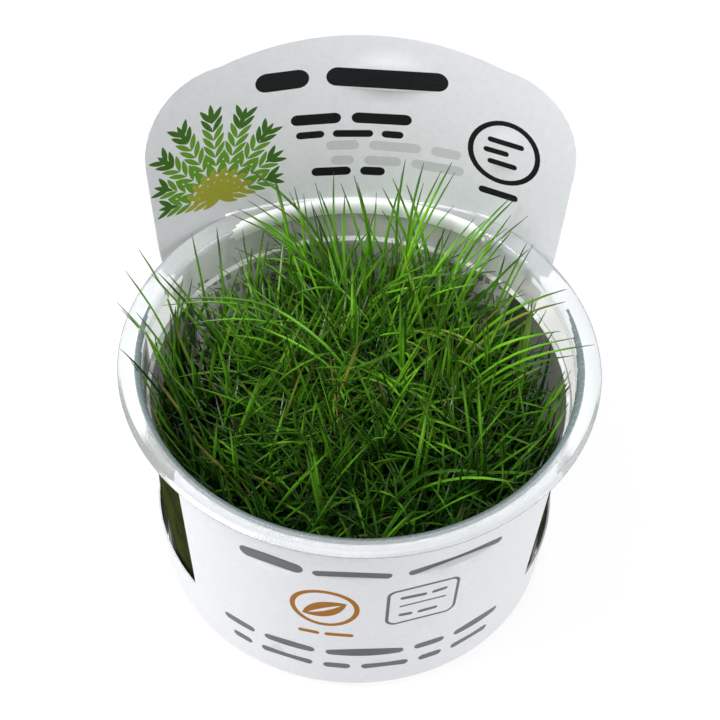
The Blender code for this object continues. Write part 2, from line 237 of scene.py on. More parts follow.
def between(made, factor, low, high):
    """A number that follows the factor from low to high."""
    scaled = node(made, "ShaderNodeMapRange", From_Min=0.3, From_Max=0.7, To_Min=low, To_Max=high)
    link(made, factor, scaled.inputs["Value"])
    return scaled.outputs["Result"]


def bump(made, shader, height, strength, distance):
    relief = node(made, "ShaderNodeBump", Strength=strength, Distance=distance)
    link(made, height, relief.inputs["Height"])
    link(made, relief.outputs["Normal"], shader.inputs["Normal"])


def ramp(made, factor, stops):
    """Colours along a factor, from a list of (place, colour)."""
    added = node(made, "ShaderNodeValToRGB")
    elements = added.color_ramp.elements
    while len(elements) < len(stops):
        elements.new(0.5)
    for element, (place, colour) in zip(elements, stops):
        element.position = place
        element.color = (*colour, 1.0)
    link(made, factor, added.inputs["Fac"])
    return added.outputs["Color"]


def mix(made, factor, first, second):
    """Mix two colours by a factor; each of the three is a plain value or a socket."""
    added = node(made, "ShaderNodeMix", data_type="RGBA")
    for value, socket in ((factor, added.inputs[0]), (first, added.inputs[6]), (second, added.inputs[7])):
        if isinstance(value, bpy.types.NodeSocket):
            link(made, value, socket)
        elif isinstance(value, tuple):
            socket.default_value = (*value, 1.0)
        else:
            socket.default_value = value
    return added.outputs[2]


def plastic(name, colour, roughness, transmission, specular):
    """Clear or milky thin plastic with a faint grain and a few shallow scuffs."""
    made, shader = principled(
        name, colour, roughness, Transmission_Weight=transmission, IOR=1.5, Specular_IOR_Level=specular
    )
    grain = between(made, noise(made, 900), 0.85 * roughness, 1.2 * roughness)
    link(made, grain, shader.inputs["Roughness"])
    bump(made, shader, noise(made, 260, 2), 0.03, 0.0002)
    return made


def thin_wall():
    """The cup's thin wall: mostly see-through, a little milky, so that the card behind it shows."""
    made, shader = principled(
        "thin wall plastic", (0.93, 0.92, 0.86), 0.12, Specular_IOR_Level=0.6, Alpha=0.27
    )
    link(made, between(made, noise(made, 900), 0.1, 0.16), shader.inputs["Roughness"])
    bump(made, shader, noise(made, 260, 2), 0.12, 0.0002)
    return made


def painted_shade_wall():
    """Wall with a dark olive sheet painted on it as the shade of the grass behind, patchy and half
    see-through, in the open windows.
    """
    made, shader = principled(
        "wall with painted shade", (0.045, 0.055, 0.02), 0.6, Specular_IOR_Level=0.0, Alpha=0.72
    )
    tone = ramp(made, noise(made, 160, 3), [(0.35, (0.022, 0.03, 0.01)), (0.7, (0.06, 0.085, 0.02))])
    link(made, tone, shader.inputs["Base Color"])
    return made


def nutrient_gel():
    """Wet olive jelly, see-through at its edge."""
    made, shader = principled(
        "nutrient gel", (0.62, 0.66, 0.3), 0.12, Transmission_Weight=0.85, IOR=1.34
    )
    link(made, between(made, noise(made, 300), 0.08, 0.22), shader.inputs["Roughness"])
    bump(made, shader, noise(made, 140), 0.3, 0.0006)
    return made


def card(name, colour, roughness=0.38, specular=0.45):
    """Coated card or print on it: faint mottling, a fine fibre grain and a satin coat."""
    made, shader = principled(name, colour, roughness, Specular_IOR_Level=specular)
    darker = tuple(0.95 * c for c in colour)
    tone = mix(made, between(made, noise(made, 700, 4), 0.0, 1.0), colour, darker)
    link(made, tone, shader.inputs["Base Color"])
    grain = between(made, noise(made, 2500), roughness - 0.06, roughness + 0.08)
    link(made, grain, shader.inputs["Roughness"])
    bump(made, shader, noise(made, 3500, 2), 0.06, 0.0001)
    return made


def grass():
    """Blades: pale at the foot, then a near-black stretch of painted shade, greener above and dark at the
    tip, by tone and by how withered they are; a low tone is partly painted shade.
    """
    made, shader = principled("hairgrass blade", (0.08, 0.26, 0.02), 0.3, Specular_IOR_Level=0.5)
    facts = node(made, "ShaderNodeAttribute", attribute_name="blade")
    parts = node(made, "ShaderNodeSeparateXYZ")
    link(made, facts.outputs["Vector"], parts.inputs["Vector"])
    share, tone, withering = parts.outputs
    # deep holds the shaded colours and bright the lit ones, mixed by tone, which is partly the blades' own
    # random tone and partly painted shade; the near-black stop low on each blade is painted shade
    deep = ramp(made, share, [
        (0.0, (0.035, 0.04, 0.014)), (0.2, (0.002, 0.009, 0.001)), (0.6, (0.004, 0.038, 0.001)),
        (0.82, (0.008, 0.064, 0.002)), (1.0, (0.012, 0.018, 0.006)),
    ])
    bright = ramp(made, share, [
        (0.0, (0.08, 0.085, 0.03)), (0.25, (0.03, 0.1, 0.006)), (0.55, (0.18, 0.54, 0.015)),
        (0.82, (0.22, 0.59, 0.025)), (1.0, (0.035, 0.045, 0.015)),
    ])
    living = mix(made, tone, deep, bright)
    withered = ramp(made, share, [
        (0.0, (0.14, 0.1, 0.04)), (0.8, (0.3, 0.25, 0.06)), (1.0, (0.05, 0.035, 0.015)),
    ])
    link(made, mix(made, withering, living, withered), shader.inputs["Base Color"])
    link(made, between(made, noise(made, 1500), 0.24, 0.4), shader.inputs["Roughness"])
    bump(made, shader, noise(made, 2500, 2), 0.25, 0.0001)
    return made


def floor_finish():
    """A floor bright enough by itself to show as plain white."""
    made, shader = principled("pale floor", (0.15, 0.15, 0.15), 0.7, Specular_IOR_Level=0.2)
    shader.inputs["Emission Color"].default_value = (1.0, 1.0, 1.0, 1.0)
    shader.inputs["Emission Strength"].default_value = 0.88
    link(made, between(made, noise(made, 40), 0.65, 0.75), shader.inputs["Roughness"])
    return made


def add_object(name, mesh, materials):
    made = bpy.data.objects.new(name, mesh)
    for finish in materials:
        mesh.materials.append(finish)
    bpy.context.scene.collection.objects.link(made)
    return made


def shade(mesh, sharp_angle):
    mesh.shade_smooth()
    mesh.set_sharp_from_angle(angle=math.radians(sharp_angle))


def arc(centre_r, centre_z, radius, start, end, steps):
    """Points of a circular arc in the profile's plane, from one angle in degrees to another."""
    angles = [math.radians(start + (end - start) * i / steps) for i in range(steps + 1)]
    return [(centre_r + radius * math.cos(a), centre_z + radius * math.sin(a)) for a in angles]


def turned(name, profile, sides):
    """Turn a profile in millimetres, whose two ends lie on the axis, round Z."""
    made = bmesh.new()
    points = [made.verts.new((r * MM, 0.0, z * MM)) for r, z in profile]
    edges = [made.edges.new(pair) for pair in zip(points, points[1:])]
    bmesh.ops.spin(made, geom=points + edges, cent=(0, 0, 0), axis=(0, 0, 1), angle=2 * math.pi, steps=sides)
    bmesh.ops.remove_doubles(made, verts=made.verts, dist=0.001 * MM)
    bmesh.ops.recalc_face_normals(made, faces=made.faces)
    mesh = bpy.data.meshes.new(name)
    made.to_mesh(mesh)
    made.free()
    return mesh


def lower_wall_radius(z):
    """Inner radius of the cup between its foot and the step."""
    share = (z - FOOT_ROUND) / (STEP_HEIGHT - STEP_DROP - FOOT_ROUND)
    return LOWER_BOTTOM_RADIUS + share * (LOWER_TOP_RADIUS - LOWER_BOTTOM_RADIUS)


def lip_curve():
    """Inner face of the lip, from its foot on the collar up and over to the flat of the flange."""
    points = []
    for i in range(LIP_STEPS + 1):
        s = i / LIP_STEPS
        weights = ((1 - s) ** 2, 2 * s * (1 - s), s * s)
        corners = (LIP_FOOT, LIP_BULGE, (LIP_TOP_RADIUS, RIM_HEIGHT))
        points.append(tuple(sum(w * c[k] for w, c in zip(weights, corners)) for k in (0, 1)))
    return points


def cup_profile():
    """Section of the cup: out along its inside, over the flange and back in along its outside."""
    inner_round = FOOT_ROUND - WALL
    underside = RIM_HEIGHT - FLANGE_THICKNESS
    outer_lip = LIP_ROUND - WALL
    slope_run, slope_drop = EDGE_SLOPE
    slope_start = FLANGE_RADIUS - slope_run
    step_foot = STEP_HEIGHT - STEP_DROP
    inside = [(0.0, FLOOR_THICKNESS)]
    inside += arc(
        LOWER_BOTTOM_RADIUS - inner_round, FLOOR_THICKNESS + inner_round, inner_round, -90, 0, ROUND_STEPS
    )
    inside += [(LOWER_TOP_RADIUS + out, step_foot + up) for out, up in STEP_FOOT_EASE]
    inside += [(COLLAR_BOTTOM_RADIUS + out, STEP_HEIGHT + up) for out, up in STEP_TOP_EASE]
    inside += lip_curve()
    flange = [(slope_start + out, RIM_HEIGHT + up) for out, up in FLANGE_EDGE_EASE]
    flange += [(FLANGE_RADIUS, RIM_HEIGHT - slope_drop)]
    flange += arc(FLANGE_RADIUS - FLANGE_ROUND, underside + FLANGE_ROUND, FLANGE_ROUND, 0, -90, 5)
    outside = arc(COLLAR_TOP_RADIUS + LIP_ROUND, underside - outer_lip, outer_lip, 90, 180, 5)
    outside += [(COLLAR_BOTTOM_RADIUS + WALL, STEP_HEIGHT - WALL)]
    outside += [(LOWER_TOP_RADIUS + WALL, step_foot - WALL)]
    outside += arc(LOWER_BOTTOM_RADIUS + WALL - FOOT_ROUND, FOOT_ROUND, FOOT_ROUND, 0, -90, 10)
    return inside + flange + outside + [(0.0, 0.0)]


def wall_plastic(place, normal):
    """The plastic of a face of the wall: milky on top of the step as a painted highlight, and a dark olive
    sheet of painted shade in the windows.
    """
    step_foot = STEP_HEIGHT - STEP_DROP
    # The top of the step is milky: a painted highlight along its edge.
    if normal.z > 0.5 and place.z > step_foot:
        return PAINTED_HIGHLIGHT
    angle = math.degrees(math.atan2(place.x, -place.y))
    # In the windows a dark olive sheet is painted shade; left of the front it reaches up to the lip
    shade_sheet_top = LIP_FOOT[1] if -SHADE_SHEET_TURN < angle < 0 else step_foot
    in_window = FRONT_HALF_ANGLE - SHADE_SHEET_UNDER_CARD < abs(angle) < WINDOW_END
    return PAINTED_SHADE_SHEET if in_window and SHADE_SHEET_BOTTOM < place.z < shade_sheet_top else THIN_WALL


def lip_plastic(place):
    """The plastic of a face of the lip: a round-ended milky band at the back as a painted highlight, and
    painted shade round the front.
    """
    up_lip = (place.z - LIP_FOOT[1]) / (RIM_HEIGHT - LIP_FOOT[1])
    rounding = BAND_END * (1 - math.sqrt(max(0.0, 1 - (2 * up_lip - 1) ** 2)))
    from_middle = abs(math.degrees(math.atan2(place.x, place.y)) - BAND_MIDDLE)
    # Round the front the lip is dark: painted shade.
    if from_middle > SHADED_START + SHADED_WIDENS * (1 - up_lip):
        return PAINTED_SHADE_LIP
    return PAINTED_HIGHLIGHT if from_middle < BAND_HALF - rounding else CLEAR_RIM


def cup_plastic(face):
    """Which of the cup's plastics a face has."""
    place = face.center / MM
    radius = math.hypot(place.x, place.y)
    if place.z < LIP_FOOT[1] and radius < FLANGE_RADIUS - FLANGE_MARGIN:
        return wall_plastic(place, face.normal)
    inwards = -(face.normal.x * place.x + face.normal.y * place.y) / radius
    on_lip = place.z > LIP_FOOT[1] and LIP_FOOT[0] - LIP_MARGIN < radius < LIP_TOP_RADIUS
    if on_lip and inwards >= LIP_FACING and face.normal.z >= -LIP_FACING:
        return lip_plastic(place)
    return CLEAR_RIM


def cup_finishes():
    """The cup's plastics, in the order of their numbers."""
    return [
        plastic("clear rim plastic", (0.94, 0.965, 0.98), 0.13, 0.75, 0.5),
        # Milky plastic that is a painted highlight on the lip's back and the step's top
        plastic("milky plastic, painted highlight", (0.98, 0.98, 0.985), 0.45, 0.0, 1.0),
        thin_wall(),
        # Dark olive sheet that is painted shade in the windows
        painted_shade_wall(),
        # Dark plastic that is painted shade on the lip round the front
        plastic("lip plastic, painted shade", (0.16, 0.205, 0.215), 0.25, 0.2, 0.3),
    ]


def make_cup():
    """The cup turned in one piece, each face with its own plastic."""
    mesh = turned("clear_cup", cup_profile(), CUP_SIDES)
    shade(mesh, 40)
    for face in mesh.polygons:
        face.material_index = cup_plastic(face)
    cup = add_object("clear_cup", mesh, cup_finishes())
    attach(cup, "root")
    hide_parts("cup")


def make_gel():
    """A disc of jelly that fills the cup's foot and climbs a little at the wall."""
    bottom = FLOOR_THICKNESS + GAP
    side = LOWER_BOTTOM_RADIUS - GAP
    wetted = lower_wall_radius(GEL_TOP) - GAP
    profile = [(0.0, bottom)]
    profile += arc(side - FOOT_ROUND, bottom + FOOT_ROUND, FOOT_ROUND, -90, 0, ROUND_STEPS)
    for i in range(8):
        profile.append((wetted - i * MENISCUS_STEP, GEL_TOP + GEL_MENISCUS * math.exp(-i * MENISCUS_FALL)))
    profile.append((0.0, GEL_TOP))
    mesh = turned("nutrient_jelly", profile, GEL_SIDES)
    shade(mesh, 40)
    gel = add_object("nutrient_jelly", mesh, [nutrient_gel()])
    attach(gel, "root")
    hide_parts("gel")


def sleeve_cone_radius(z):
    """Outer radius of the sleeve's cone at a height."""
    share = (z - SLEEVE_BOTTOM) / (PANEL_TOP - SLEEVE_BOTTOM)
    return SLEEVE_BOTTOM_RADIUS + share * (SLEEVE_TOP_RADIUS - SLEEVE_BOTTOM_RADIUS)


def header_point(across, z):
    """Outer face of the header; across is the distance along its arc from its middle."""
    a = across / HEADER_RADIUS
    radius = HEADER_RADIUS + HEADER_LEAN * (z - RIM_HEIGHT)
    unturned = Vector((radius * math.sin(a), HEADER_CENTRE_Y + radius * math.cos(a), z))
    return Matrix.Rotation(math.radians(HEADER_TURN), 3, "Z") @ unturned


def header_across(angle):
    """Distance along the header's arc at an angle round the cup, the inverse of header_angle."""
    a = math.radians(180 - angle + HEADER_TURN)
    return HEADER_RADIUS * (a + math.asin(HEADER_CENTRE_Y * math.sin(a) / HEADER_RADIUS))


def header_angle(across):
    """Angle round the cup of a column of the header, in degrees from the front and from -270 to 90."""
    point = header_point(across, RIM_HEIGHT)
    angle = math.degrees(math.atan2(point.x, -point.y))
    return angle - 360 if angle > 90 else angle


def sleeve_point(angle, z):
    """Outer face of the whole sleeve by angle round the cup and height."""
    a = math.radians(angle)
    round_cup = Vector((math.sin(a), -math.cos(a), 0))
    cone = sleeve_cone_radius(z)
    if z <= FLARE_START or abs(angle) <= FRONT_HALF_ANGLE + 1:
        return cone * round_cup + Vector((0, 0, z))
    across = header_across(angle + 360)
    if z >= RIM_HEIGHT:
        return header_point(across, z)
    at_rim = header_point(across, RIM_HEIGHT)
    share = (z - FLARE_START) / (RIM_HEIGHT - FLARE_START)
    share = share * share * (3 - 2 * share)
    radius = cone + share * (math.hypot(at_rim.x, at_rim.y) - sleeve_cone_radius(RIM_HEIGHT))
    return radius * round_cup + Vector((0, 0, z))


def sleeve_normal(angle, z):
    """Direction out of the card, from the places beside, above and below."""
    step = 0.2
    round_cup = sleeve_point(angle + step, z) - sleeve_point(angle - step, z)
    up = sleeve_point(angle, z + step) - sleeve_point(angle, z - step)
    return round_cup.cross(up).normalized()


def header_height(across):
    """Top edge of the header: one long flat arc with a quarter round at each end."""
    straight = HEADER_HALF_WIDTH - HEADER_CORNER
    inner = min(abs(across), straight)
    top = HEADER_TOP - inner * inner / (2 * HEADER_TOP_ARC)
    past = max(0.0, abs(across) - straight)
    return top - HEADER_CORNER + math.sqrt(max(0.0, HEADER_CORNER**2 - past**2))


def flat(angle, z):
    """Where a place on the sleeve lies in its flat drawing, in millimetres."""
    return (math.radians(angle) * PRINT_RADIUS, z)


def unflat(place):
    """Angle round the cup and height of a place in the flat drawing, the inverse of flat."""
    return math.degrees(place[0] / PRINT_RADIUS), place[1]


def on_front(x, z):
    return flat(math.degrees(x / PRINT_RADIUS), z)


def on_header(across, z):
    return flat(header_angle(across), z)


def forwards(outline):
    """The outline in counter-clockwise order."""
    twice_area = sum(a[0] * b[1] - b[0] * a[1] for a, b in zip(outline, outline[1:] + outline[:1]))
    return outline if twice_area > 0 else outline[::-1]


def stretch(start, end, step):
    """Points of a straight stretch of the flat drawing, without its last one."""
    count = max(1, round((Vector(end) - Vector(start)).length / step))
    return [tuple(Vector(start).lerp(Vector(end), i / count)) for i in range(count)]


def sleeve_outline():
    """Outline of the flat card: band, front panel, and back panel with its header."""
    edge = HEADER_HALF_WIDTH
    straight = edge - HEADER_CORNER
    corner = [straight + HEADER_CORNER * math.sin(math.radians(a)) for a in range(9, 91, 9)]
    middle = [straight * i / 20 for i in range(-20, 21)]
    top = [-c for c in reversed(corner)] + middle + corner
    corners = [
        flat(-270, SLEEVE_BOTTOM), flat(90, SLEEVE_BOTTOM), flat(90, BAND_TOP),
        flat(FRONT_HALF_ANGLE, BAND_TOP), flat(FRONT_HALF_ANGLE, PANEL_TOP),
        flat(-FRONT_HALF_ANGLE, PANEL_TOP), flat(-FRONT_HALF_ANGLE, BAND_TOP),
        on_header(-edge, BAND_TOP), on_header(-edge, header_height(edge)),
    ]
    outline = []
    for start, end in zip(corners, corners[1:]):
        outline += stretch(start, end, SKIN_STEP)
    outline += [on_header(c, header_height(c)) for c in top]
    last = [on_header(edge, header_height(edge)), on_header(edge, BAND_TOP)]
    last += [flat(-270, BAND_TOP), corners[0]]
    for start, end in zip(last, last[1:]):
        outline += stretch(start, end, SKIN_STEP)[1 if start == last[0] else 0:]
    return outline


def slit_outline():
    """The slit that the flange's back edge enters."""
    across = [SLIT_HALF_WIDTH * i / 40 for i in range(-40, 41)]
    lower = [on_header(c, PANEL_TOP) for c in across]
    return lower + [on_header(c, SLIT_TOP) for c in reversed(across)]


def bar(x0, x1, z, height):
    """A word's place: a bar with round ends."""
    half = height / 2
    points = []
    for x, reach in ((x1 - half, half), (x0 + half, -half)):
        for a in range(-90, 91, 18):
            angle = math.radians(a)
            points.append((x + reach * math.cos(angle), z + reach * math.sin(angle)))
    return points


def words(x0, z, height, lengths, gap):
    """A line of words, each a bar, from its left end."""
    bars = []
    for length in lengths:
        bars.append(bar(x0, x0 + length, z, height))
        x0 += length + gap
    return bars


def box(x, z, width, height, corner):
    """A rectangle with round corners."""
    points = []
    for side_x, side_z, start in ((1, 1, 0), (-1, 1, 90), (-1, -1, 180), (1, -1, 270)):
        for a in range(start, start + 91, 15):
            px = x + side_x * (width / 2 - corner) + corner * math.cos(math.radians(a))
            pz = z + side_z * (height / 2 - corner) + corner * math.sin(math.radians(a))
            points.append((px, pz))
    return points


def disc(x, z, radius):
    angles = [math.radians(10 * i) for i in range(36)]
    return [(x + radius * math.cos(a), z + radius * math.sin(a)) for a in angles]


def leaf(x, z, length, width, angle):
    """A pointed leaf that grows from (x, z) at an angle in degrees."""
    points = []
    for side in (-1, 1):
        shares = [i / 10 for i in range(10)]
        for share in shares if side == -1 else [1 - s for s in shares]:
            along = length * share
            off = side * width / 2 * math.sin(math.pi * share) ** 0.8
            points.append((along, off))
    spin = Matrix.Rotation(math.radians(angle), 2)
    return [tuple(Vector((x, z)) + spin @ Vector(p)) for p in points]


def front_prints():
    """Generic marks on the front panel, as (ink, outline) in the panel's own millimetres."""
    marks = [("grey ink", bar(-26.6, -13.2, 48.3, 3.4))]
    marks += [("grey ink", p) for p in words(-11.4, 48.0, 2.0, (15.5, 20.5), 3.2)]
    marks += [("amber ink", disc(-9.0, 34.4, 7.2)), ("card", disc(-9.0, 34.4, 6.1))]
    marks += [("amber ink", leaf(-13.6, 31.2, 10.8, 5.6, 32)), ("card", leaf(-12.4, 31.9, 8.0, 1.0, 32))]
    marks += [("amber ink", p) for p in words(-14.6, 23.8, 1.3, (4.6, 6.2), 1.0)]
    marks += [("grey ink", box(11.2, 34.6, 15.4, 14.0, 2.2)), ("card", box(11.2, 34.6, 14.0, 12.6, 1.6))]
    marks += [("grey ink", p) for p in words(6.2, 38.2, 1.1, (5.6, 3.4), 1.0)]
    marks += [("grey ink", p) for p in words(6.2, 34.9, 0.6, (10.0,), 1.0)]
    marks += [("grey ink", p) for p in words(6.2, 31.4, 1.1, (3.0, 4.4), 1.0)]
    marks += [("grey ink", p) for p in words(-33.0, 16.0, 2.1, (8.0, 11.5, 17.0, 7.0, 12.0), 2.4)]
    marks += [("grey ink", p) for p in words(-31.0, 10.3, 2.1, (5.0, 12.0, 6.0, 10.5, 5.5, 10.0), 2.4)]
    return marks


def header_prints():
    """Generic marks on the header's face towards the cup, in millimetres across and up."""
    marks = [("black ink", p) for p in words(-21.4, 91.8, 4.6, (11.0, 24.6), 3.4)]
    marks += [("black ink", p) for p in words(-14.4, 81.4, 2.7, (10.5, 12.5), 2.2)]
    marks += [("black ink", p) for p in words(-13.4, 77.4, 1.8, (6.0, 8.5, 4.6), 1.8)]
    marks += [("black ink", p) for p in words(-10.2, 67.6, 2.2, (8.6, 5.4), 2.0)]
    marks += [("black ink", disc(31.0, 78.0, 8.0)), ("card", disc(31.0, 78.0, 6.8))]
    for x, z, length in ((27.0, 80.6, 8.0), (26.4, 77.9, 5.6), (27.6, 75.2, 6.6)):
        marks.append(("black ink", bar(x, x + length, z, 1.3)))
    marks.append(("black ink", bar(26.6, 35.6, 67.4, 1.7)))
    return marks + sprig()


def sprig():
    """Stems that fan out, each with pairs of small leaves: yellow at the foot, green, dark at the tip."""
    marks = []
    foot = Vector(SPRIG_FOOT)
    leaf_length, leaf_width = SPRIG_LEAF
    for lean, length in SPRIG_STEMS:
        angle = 90 + lean
        along = Vector((math.cos(math.radians(angle)), math.sin(math.radians(angle))))
        for i in range(int(length / SPRIG_STEP)):
            ink = "green leaf" if i * SPRIG_STEP < 0.72 * length else "dark leaf"
            if i < 3:
                ink = "yellow leaf"
            x, z = foot + i * SPRIG_STEP * along
            for turn in (-SPRIG_LEAF_LEAN, SPRIG_LEAF_LEAN):
                marks.append((ink, leaf(x, z, leaf_length, leaf_width, angle + turn)))
        x, z = foot + (length - leaf_length) * along
        marks.append(("dark leaf", leaf(x, z, SPRIG_TIP, leaf_width, angle)))
    return marks


def header_back_prints():
    """Two lines of words on the header's other face, which show faintly through the card."""
    return words(-7.0, 74.4, 2.4, (7.0, 11.0, 6.5), 2.2) + words(-6.0, 70.4, 2.4, (5.0, 8.0, 11.5), 2.2)


def inside_prints():
    """Small lines low on the back panel, seen through the cup's wall: words of plain blocks."""
    marks = []
    for row, lengths in enumerate(BLOCK_ROWS):
        z = BLOCK_TOP_ROW - BLOCK_ROW * row
        for x in BLOCK_COLUMNS:
            for length in lengths:
                for i in range(length):
                    block = box(x + BLOCK * (i + 0.5), z, 0.7 * BLOCK, BLOCK_HEIGHT, 0.3)
                    marks.append(("black ink", block))
                x += BLOCK * (length + 1)
    return marks


def make_inks():
    """The card and the inks on it, by name."""
    return {
        "card": card("white card", (0.86, 0.87, 0.9)),
        "faint ink": card("faint print", (0.66, 0.67, 0.69)),
        "grey ink": card("grey ink", (0.12, 0.125, 0.14), 0.32, 0.25),
        "amber ink": card("amber ink", (0.4, 0.15, 0.001), 0.4, 0.12),
        "black ink": card("black ink", (0.012, 0.012, 0.014), 0.32, 0.25),
        "dark leaf": card("dark leaf ink", (0.06, 0.16, 0.02), 0.34, 0.25),
        "green leaf": card("green leaf ink", (0.15, 0.35, 0.03), 0.34, 0.25),
        "yellow leaf": card("yellow leaf ink", (0.42, 0.42, 0.05), 0.34, 0.25),
    }


def sleeve_shapes():
    """Every outline of the flat card, as (ink on the outer skin, ink on the inner skin, outline)."""
    shapes = [("card", "card", sleeve_outline()), ("slit", "slit", slit_outline())]
    for ink, outline in front_prints():
        shapes.append((ink, "card", [on_front(*p) for p in outline]))
    for outline in header_back_prints():
        shapes.append(("grey ink", "faint ink", [on_header(*p) for p in outline]))
    for ink, outline in header_prints() + inside_prints():
        shapes.append(("card", ink, [on_header(*p) for p in outline]))
    return shapes


def flat_skin(shapes):
    """Cut the flat card along every outline: places, triangles, and the shape on top at each triangle."""
    points = []
    faces = []
    for _, _, outline in shapes:
        faces.append(list(range(len(points), len(points) + len(outline))))
        points += [Vector(p) for p in forwards(outline)]
    start_x, start_z = flat(-270, SLEEVE_BOTTOM)
    for i in range(int(math.radians(360) * PRINT_RADIUS / SKIN_STEP)):
        for j in range(int((HEADER_TOP - SLEEVE_BOTTOM) / SKIN_ROW)):
            points.append(Vector((start_x + SKIN_STEP * (i + 0.5), start_z + SKIN_ROW * (j + 0.5))))
    places, _, cells, _, _, owners = delaunay_2d_cdt(points, [], faces, 1, 1e-5)
    return places, [(cell, shapes[max(owner)]) for cell, owner in zip(cells, owners)]


def make_sleeve():
    """The card as two skins cut along every outline of its print, joined round their edges."""
    places, cells = flat_skin(sleeve_shapes())
    cells = [(cell, shape) for cell, shape in cells if shape[0] != "slit"]
    kept = {i for cell, _ in cells for i in cell}
    inks = make_inks()
    order = list(inks)
    made = bmesh.new()
    outer = []
    inner = []
    for i, place in enumerate(places):
        point = sleeve_point(*unflat(place))
        under = point - CARD * sleeve_normal(*unflat(place))
        outer.append(made.verts.new(point * MM) if i in kept else None)
        inner.append(made.verts.new(under * MM) if i in kept else None)
    for cell, (outer_ink, inner_ink, _) in cells:
        for skin, corners, ink in ((outer, cell, outer_ink), (inner, list(reversed(cell)), inner_ink)):
            face = made.faces.new([skin[i] for i in corners])
            face.material_index = order.index(ink)
            face.smooth = True
    close_edges(made, outer, inner)
    bmesh.ops.remove_doubles(made, verts=made.verts, dist=0.005 * MM)
    mesh = bpy.data.meshes.new("printed_sleeve")
    made.to_mesh(mesh)
    made.free()
    mesh.set_sharp_from_angle(angle=math.radians(40))
    sleeve = add_object("printed_sleeve", mesh, list(inks.values()))
    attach(sleeve, "root")
    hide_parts("card_sleeve")


def on_seam(vert):
    """Whether a corner lies on the band's seam, where the flat card's two ends meet."""
    seam_x = sleeve_point(90, vert.co.z / MM).x * MM
    return abs(vert.co.x - seam_x) < 1e-6 and abs(vert.co.y) < 1e-5


def close_edges(made, outer, inner):
    """Join the two skins along their free edges; the seam's edges meet when doubles are removed."""
    partner = dict(zip(outer, inner))
    for edge in [e for e in made.edges if e.is_boundary and e.verts[0] in partner]:
        a, b = edge.verts
        if edge.link_loops[0].vert != a:
            a, b = b, a
        if not (on_seam(a) and on_seam(b)):
            made.faces.new((b, a, partner[a], partner[b]))


def tuft_places():
    """Where the tufts stand: in rings, each turned against the one inside it."""
    places = []
    for ring, (count, radius) in enumerate(TUFT_RINGS):
        for i in range(count):
            a = 2 * math.pi * (i + RING_TURN * ring) / count
            places.append(np.array([radius * math.cos(a), radius * math.sin(a), GEL_TOP]))
    return places


def solid_blades(name):
    """Centre lines in millimetres of the blades of a tuft's solid, followed ring by ring from each tip."""
    made = bmesh.new()
    made.from_mesh(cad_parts[name].data)
    bmesh.ops.remove_doubles(made, verts=made.verts, dist=0.001 * MM)
    lines = []
    for tip in [v for v in made.verts if len(v.link_faces) == 3]:
        line = [tip.co / MM]
        seen = {tip}
        ring = {edge.other_vert(tip) for edge in tip.link_edges}
        while len(ring) == 3:
            line.append(sum((v.co for v in ring), Vector()) / 3 / MM)
            seen |= ring
            ring = {edge.other_vert(v) for v in ring for edge in v.link_edges} - seen
        lines.append(np.array(list(reversed(line))))
    made.free()
    return lines


def smooth_line(points, count):
    """A Catmull-Rom curve through the points, read at evenly spaced shares of its length."""
    padded = np.vstack([2 * points[0] - points[1], points, 2 * points[-1] - points[-2]])
    fine = []
    for a, b, c, d in zip(padded, padded[1:], padded[2:], padded[3:]):
        for t in np.linspace(0, 1, 8, endpoint=False):
            fine.append(0.5 * (2 * b + (c - a) * t + (2 * a - 5 * b + 4 * c - d) * t**2
                               + (3 * b - a - 3 * c + d) * t**3))
    fine = np.array(fine + [points[-1]])
    along = np.concatenate([[0], np.cumsum(np.linalg.norm(np.diff(fine, axis=0), axis=1))])
    wanted = np.linspace(0, along[-1], count)
    return np.stack([np.interp(wanted, along, fine[:, k]) for k in range(3)], axis=1)


def wall_limit(z):
    """How far from the axis a blade may reach at each height."""
    share = (z - FOOT_ROUND) / (STEP_HEIGHT - FOOT_ROUND)
    lower = LOWER_BOTTOM_RADIUS + share * (LOWER_TOP_RADIUS - LOWER_BOTTOM_RADIUS)
    over = COLLAR_TOP_RADIUS + 8 * np.clip((z - RIM_HEIGHT - 1) / 4, 0, 1)
    return np.where(z < STEP_HEIGHT, lower, over) - 1.0


def eased(lines, passes):
    """The lines with their kinks smoothed out, ends kept."""
    for _ in range(passes):
        lines[..., 1:-1, :] += 0.5 * ((lines[..., :-2, :] + lines[..., 2:, :]) / 2 - lines[..., 1:-1, :])
    return lines


def keep_inside(lines):
    """Slide points that would pass through the cup's wall back along their radius."""
    radius = np.hypot(lines[..., 0], lines[..., 1])
    share = np.minimum(1.0, wall_limit(lines[..., 2]) / np.maximum(radius, 1e-6))
    lines[..., 0] *= share
    lines[..., 1] *= share
    return lines


def canopy(place):
    """Height that the shorter blades reach: lower at the front, higher in front of the header."""
    backwards = (place[1] + LOWER_BOTTOM_RADIUS) / (2 * LOWER_BOTTOM_RADIUS)
    return CANOPY_FRONT + (CANOPY_BACK - CANOPY_FRONT) * backwards


def thinning(place):
    """How much sparser and shorter the grass is here: the wall shows on both sides behind the clump."""
    bearing = math.degrees(math.atan2(place[1], place[0]))
    near_wall = min(1.0, max(0.0, (math.hypot(place[0], place[1]) - THIN_FROM) / THIN_WITHIN))
    found = 0.0
    for middle, width, most in THIN_PLACES:
        found = max(found, most * math.exp(-(((bearing - middle) / width) ** 2)))
    return found * near_wall


